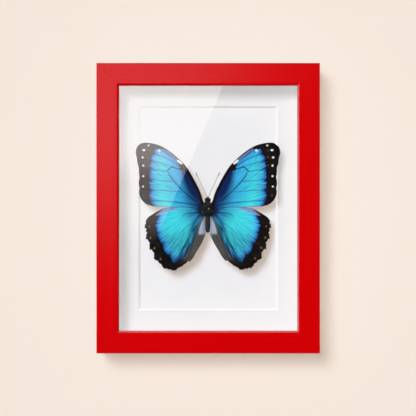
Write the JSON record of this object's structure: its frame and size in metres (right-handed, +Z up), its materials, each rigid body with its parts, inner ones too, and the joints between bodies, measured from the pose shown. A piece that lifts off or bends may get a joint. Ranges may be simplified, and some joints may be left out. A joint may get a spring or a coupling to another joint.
{
  "type": "framed butterfly specimen",
  "caption": "Red box frame holding a spread blue butterfly behind glass, over a white window mat, with a flush hanger in its back.",
  "frame": {"origin": "middle of the underside, halfway between the front and back faces", "axes": "+Z up the frame, +Y out of the back towards the wall, -Y out of the glazed front, +X to the right seen from the front"},
  "size_m": [0.163, 0.036, 0.2118],
  "materials": {
    "red_lacquered_wood": "sprayed satin-gloss red lacquer",
    "picture_glass": "clear float glass",
    "white_card": "matt white",
    "mat_board": "smooth matt white face, white core at the bevel",
    "foam_board": "matt white paper face on a foam core",
    "hardboard": "smooth brown pressed fibre",
    "insect_body": "dark chitin under fine hair",
    "wing_scales": "iridescent blue scales with a black border",
    "pin_steel": "polished",
    "zinc_steel": "zinc plated",
    "brassed_steel": "brassed"
  },
  "bodies": {
    "root": {"frame_rail_bottom": "red_lacquered_wood", "frame_rail_top": "red_lacquered_wood", "frame_rail_left": "red_lacquered_wood", "frame_rail_right": "red_lacquered_wood", "glazing": "picture_glass", "spacer_top": "white_card", "spacer_bottom": "white_card", "spacer_left": "white_card", "spacer_right": "white_card", "window_mat": "mat_board", "mounting_board": "foam_board", "back_panel": "hardboard", "butterfly_body": "insect_body", "forewing_left": "wing_scales", "forewing_right": "wing_scales", "hindwing_left": "wing_scales", "hindwing_right": "wing_scales", "antenna_left": "insect_body", "antenna_right": "insect_body", "insect_pin": "pin_steel", "mounting_pillar": "foam_board", "retaining_tab_bottom_1": "zinc_steel", "retaining_tab_bottom_2": "zinc_steel", "retaining_tab_top_1": "zinc_steel", "retaining_tab_top_2": "zinc_steel", "retaining_tab_left_1": "zinc_steel", "retaining_tab_left_2": "zinc_steel", "retaining_tab_right_1": "zinc_steel", "retaining_tab_right_2": "zinc_steel", "sawtooth_hanger": "zinc_steel", "hanger_nail_1": "brassed_steel", "hanger_nail_2": "brassed_steel"}
  },
  "joints": []
}
